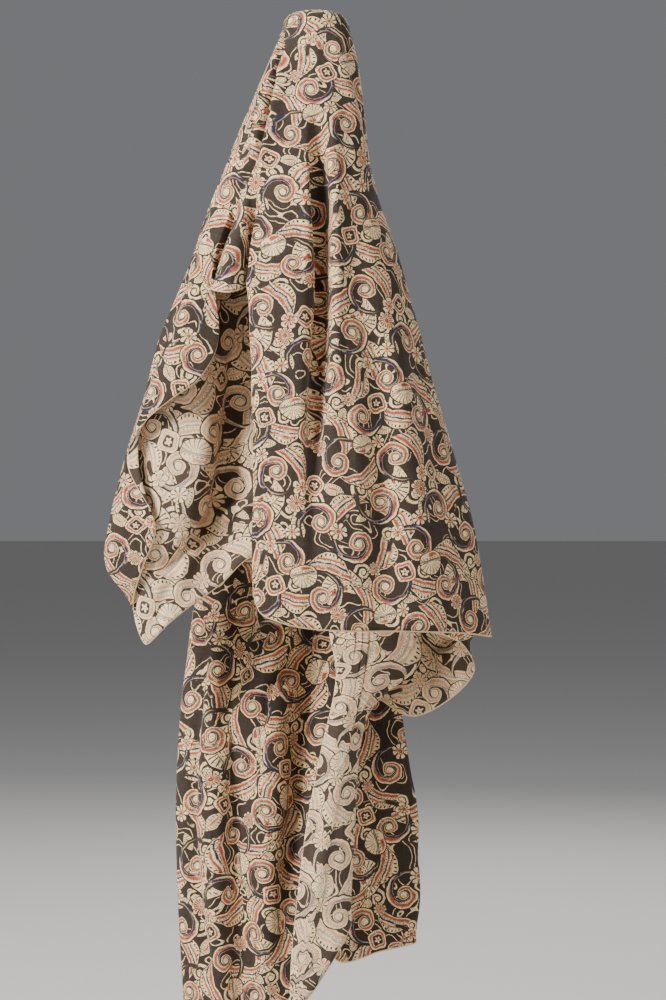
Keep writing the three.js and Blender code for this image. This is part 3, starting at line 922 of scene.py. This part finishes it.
def nearest_place(weave, places, spread):
    """Where a spot on the cloth lies in the nearest of a motif's places."""
    x, y, least = 0.0, 0.0, 99.0
    half = (REPEAT[0] / 2, REPEAT[1] / 2, 10)
    for across, drop, size, turned in places:
        middle = (across, -drop, 0)
        limits = [[m + sign * h for m, h in zip(middle, half)] for sign in (1, -1)]
        near = node("ShaderNodeVectorMath", {0: weave, 1: limits[0], 2: limits[1]}, operation="WRAP")
        near = node("ShaderNodeVectorMath", {0: near, 1: middle}, operation="SUBTRACT")
        size = size * spread
        turn = math.radians(turned)
        right = (math.cos(turn) / size, math.sin(turn) / size, 0)
        up = (-math.sin(turn) / abs(size), math.cos(turn) / abs(size), 0)
        right, up = (
            node("ShaderNodeVectorMath", {0: near, 1: way}, "Value", operation="DOT_PRODUCT")
            for way in (right, up)
        )
        reach = far(right, up)
        nearer = work("LESS_THAN", reach, least)
        x, y = (node("ShaderNodeMix", {0: nearer, 2: old, 3: new}) for old, new in ((x, right), (y, up)))
        least = work("MINIMUM", reach, least)
    return x, y


def laid_print(weave, spread):
    """The three inks at a place on the flat cloth, its motifs grown or shrunk by the spread."""
    drift = patches(weave, 0.045, 0.0)
    stems = both(band(work("FRACT", drift * 6), 0.36, 0.52, 0.02), inside(0.53 - drift))
    inks = node("ShaderNodeCombineXYZ", {0: 1 - stems, 1: 0.0, 2: 0.0})
    for row in CHART:
        stamp = Field.tree.nodes.new("ShaderNodeGroup")
        stamp.node_tree = row["motif"]
        for socket, way in zip(stamp.inputs, nearest_place(weave, row["places"], spread)):
            feed(socket, way)
        over = Field.tree.nodes.new("ShaderNodeMix")
        over.data_type = "VECTOR"
        feed(over.inputs[0], Field(stamp.outputs["cover"]))
        feed(over.inputs[4], inks)
        feed(over.inputs[5], Field(stamp.outputs["inks"]))
        inks = Field(over.outputs[1])
    return inks


def colour_mix(share, below, above):
    """One colour laid over another, by this share."""
    return node("ShaderNodeMix", {0: share, 6: below, 7: above}, 2, data_type="RGBA")


def cotton(name, cream, ground, red, blue, tint, wear, spread):
    """The cloth's paint. Tint is how strong the red and blue are, wear how little of the finest drawing shows,
    and spread how wide the undyed motifs are."""
    paint = bpy.data.materials.new(name)
    paint.use_nodes = True
    Field.tree = paint.node_tree
    spot = node("ShaderNodeUVMap", (), uv_map="weave")
    flat_place = node("ShaderNodeVectorMath", {0: spot, "Scale": 1000.0}, operation="SCALE")
    wobble = patches(flat_place, 0.09, 1.0, "Color")
    drawn = {0: wobble, 1: (3.2, 3.2, 0.0), 2: flat_place}
    drawn = node("ShaderNodeVectorMath", drawn, operation="MULTIPLY_ADD")
    dark_ink, red_ink, blue_ink = parts_of(laid_print(drawn, spread))

    # Threads: every one is a little thicker or thinner along its way, both across and down the cloth.
    weft, warp = (
        patches(node("ShaderNodeVectorMath", {0: flat_place, 1: drawn_out}, operation="MULTIPLY"), 1.0, 1.0)
        for drawn_out in ((0.06, 2.2, 0.0), (2.2, 0.06, 0.0))
    )
    slub = weft + warp - 1

    # The inks lie unevenly: paler where a block pressed lightly, and with small specks where the resist broke.
    patch, fine, _ = parts_of(patches(flat_place, 0.16, 3.0, "Color"))
    speck = rising(patches(flat_place, 0.9, 1.0) + (fine - 0.5) * 0.5, 0.59, 0.66) * (0.75 - wear * 0.5)
    dark_ink = either(rising(dark_ink, wear * 0.8, 1.0), speck) * (0.985 + 0.06 * slub)
    red_ink = red_ink * rising(patch + 0.6 * slub, 0.1, 0.4) * tint
    blue_ink = blue_ink * rising(fine + 0.6 * slub, 0.1, 0.4) * tint
    pale = colour_mix(0.5 + slub, [c * 0.9 for c in cream[:3]] + [1], [c * 1.08 for c in cream[:3]] + [1])
    aged = [c * k for c, k in zip(cream, (0.86, 0.8, 0.72, 1))]
    pale = colour_mix(rising(patch, 0.45, 0.75) * 0.25, pale, aged)
    colour = colour_mix(red_ink, pale, red)
    colour = colour_mix(blue_ink, colour, blue)
    colour = colour_mix(dark_ink, colour, ground)

    # The free edges end in an undyed line.
    from_free_edge = node("ShaderNodeAttribute", (), "Fac", attribute_name="from_edge")
    colour = colour_mix(inside(from_free_edge - 0.0013, 0.0003) * 0.85, colour, pale)
    bsdf = paint.node_tree.nodes["Principled BSDF"]
    Field.tree.links.new(colour.socket, bsdf.inputs["Base Color"])
    bsdf.inputs["Roughness"].default_value = 0.82
    bsdf.inputs["Specular IOR Level"].default_value = 0.25
    bsdf.inputs["Sheen Weight"].default_value = 0.12
    bsdf.inputs["Sheen Roughness"].default_value = 0.5

    # The plain weave shows as a fine relief.
    across, down, _ = parts_of(flat_place)
    relief = work("SINE", across * (2 * math.pi / THREAD)) * work("SINE", down * (2 * math.pi / THREAD))
    weave = {"Strength": 0.35, "Distance": 0.00012, "Height": relief + slub * 2}
    raised = node("ShaderNodeBump", weave, "Normal")
    Field.tree.links.new(raised.socket, bsdf.inputs["Normal"])
    return paint


FACE = {
    "cream": (0.94, 0.68, 0.37, 1),
    "ground": (0.022, 0.013, 0.009, 1),
    "red": (0.43, 0.085, 0.042, 1),
    "blue": (0.009, 0.022, 0.070, 1),
    "tint": 1.0,
    "wear": 0.0,
    "spread": 0.92,
}
REVERSE = {
    "cream": (1.0, 0.75, 0.45, 1),
    "ground": (0.050, 0.032, 0.021, 1),
    "red": (0.62, 0.23, 0.12, 1),
    "blue": (0.12, 0.15, 0.20, 1),
    "tint": 0.6,
    "wear": 0.6,
    "spread": 1.05,
}
skin.materials.append(cotton("printed_face", **FACE))
skin.materials.append(cotton("printed_reverse", **REVERSE))
solid = cloth.modifiers.new("thickness", "SOLIDIFY")
solid.thickness = 0.0006
solid.offset = 0
solid.material_offset = 1
solid.material_offset_rim = 0
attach(cloth, "root")
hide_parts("cloth")
